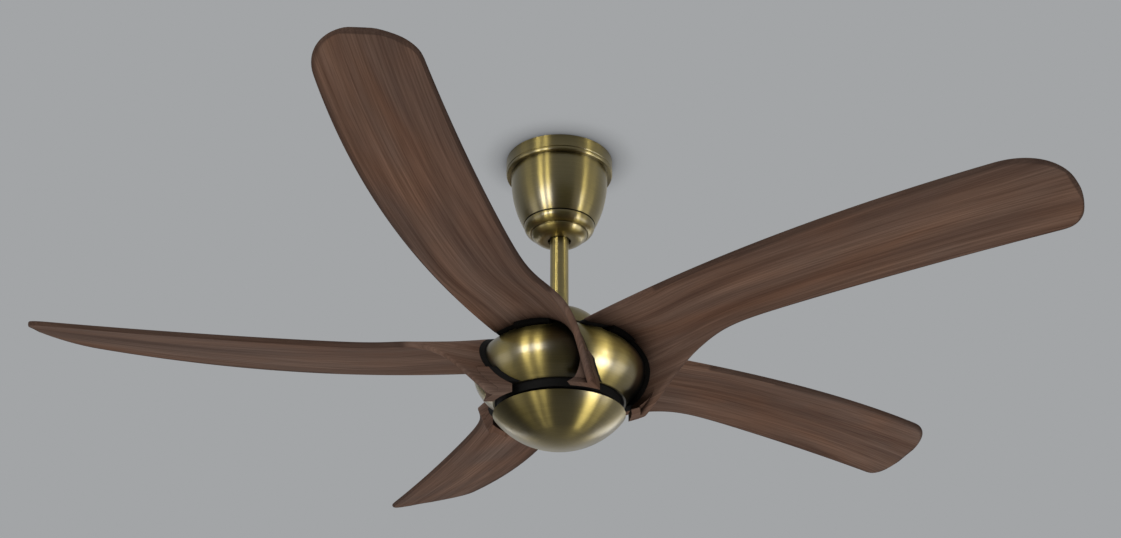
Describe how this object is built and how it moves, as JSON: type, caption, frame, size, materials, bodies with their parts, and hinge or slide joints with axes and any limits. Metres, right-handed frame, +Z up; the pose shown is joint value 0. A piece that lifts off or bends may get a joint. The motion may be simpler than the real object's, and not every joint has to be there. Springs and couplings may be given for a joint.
{
  "type": "ceiling fan",
  "caption": "Ceiling fan with bowed wood-look blades, a rounded brass motor housing, bottom bowl, downrod and bell canopy on a ball hanger bracket.",
  "frame": {"origin": "centre of the hanger bracket's ceiling plate, on the ceiling plane", "axes": "+Z up along the fan's axis towards the ceiling, +X along the bracket's row of slots; the fan hangs below along -Z"},
  "size_m": [1.3634, 1.4078, 0.454],
  "materials": {
    "antique_brass": "brushed, antique tone",
    "walnut": "satin, dark walnut grain",
    "black_seal": "matte",
    "black_pan": "satin black",
    "zinc_steel": "zinc plated",
    "screw_steel": "zinc plated",
    "bearing_steel": "ground and polished",
    "cage_brass": "stamped",
    "cast_aluminium": "die-cast",
    "core_steel": "laminated, dark",
    "winding_enamel": "enamelled copper wire",
    "ferrite": "sintered",
    "ball_nylon": "moulded",
    "receiver_plastic": "moulded",
    "board_green": "solder mask",
    "component_black": "moulded"
  },
  "bodies": {
    "ceiling_mount": {"hanger_bracket": "zinc_steel", "receiver_box": "receiver_plastic", "canopy": "antique_brass", "canopy_ring": "antique_brass", "canopy_cap": "antique_brass", "canopy_screws": "screw_steel"},
    "hanging_frame": {"hanger_ball": "ball_nylon", "ball_pin": "screw_steel", "ball_set_screw": "screw_steel", "downrod": "antique_brass", "coupling": "zinc_steel", "coupling_pin": "screw_steel", "pin_clip": "screw_steel", "coupling_screws": "screw_steel", "coupler_cover": "antique_brass", "cover_grommet": "black_seal", "motor_shaft": "zinc_steel", "stator_core": "core_steel", "stator_windings": "winding_enamel", "upper_bearing_inner": "bearing_steel", "lower_bearing_inner": "bearing_steel", "bowl_carrier": "zinc_steel", "shaft_nut": "screw_steel", "driver_board": "board_green", "board_parts": "component_black", "board_screws": "screw_steel", "bowl": "antique_brass"},
    "rotor": {"upper_end_bell": "cast_aluminium", "lower_end_bell": "cast_aluminium", "rotor_ring": "zinc_steel", "rotor_magnets": "ferrite", "motor_screws": "screw_steel", "upper_bearing_outer": "bearing_steel", "lower_bearing_outer": "bearing_steel", "housing_shell": "antique_brass", "shell_screws": "screw_steel", "lower_shield": "black_pan", "shield_screws": "screw_steel", "blade_1": "walnut", "blade_2": "walnut", "blade_3": "walnut", "blade_4": "walnut", "blade_5": "walnut", "blade_seal_1": "black_seal", "blade_seal_2": "black_seal", "blade_seal_3": "black_seal", "blade_seal_4": "black_seal", "blade_seal_5": "black_seal", "blade_screws": "screw_steel", "screw_washers": "screw_steel"},
    "upper_ball_set": {"upper_bearing_balls": "bearing_steel", "upper_bearing_cage": "cage_brass"},
    "lower_ball_set": {"lower_bearing_balls": "bearing_steel", "lower_bearing_cage": "cage_brass"}
  },
  "joints": [
    {"name": "ball_swing", "type": "hinge", "parent": "ceiling_mount", "child": "hanging_frame", "pos_m": [0, 0, -0.062], "axis": [1, 0, 0], "range_deg": [-2, 2]},
    {"name": "fan_spin", "type": "hinge", "parent": "hanging_frame", "child": "rotor", "pos_m": [0, 0, -0.348], "axis": [0, 0, 1], "continuous": true},
    {"name": "upper_ball_spin", "type": "hinge", "parent": "hanging_frame", "child": "upper_ball_set", "pos_m": [0, 0, -0.307], "axis": [0, 0, 1], "continuous": true},
    {"name": "lower_ball_spin", "type": "hinge", "parent": "hanging_frame", "child": "lower_ball_set", "pos_m": [0, 0, -0.387], "axis": [0, 0, 1], "continuous": true}
  ],
  "couplings": [
    {"joint": "upper_ball_spin", "follows": "fan_spin", "ratio": 0.619},
    {"joint": "lower_ball_spin", "follows": "fan_spin", "ratio": 0.619}
  ]
}
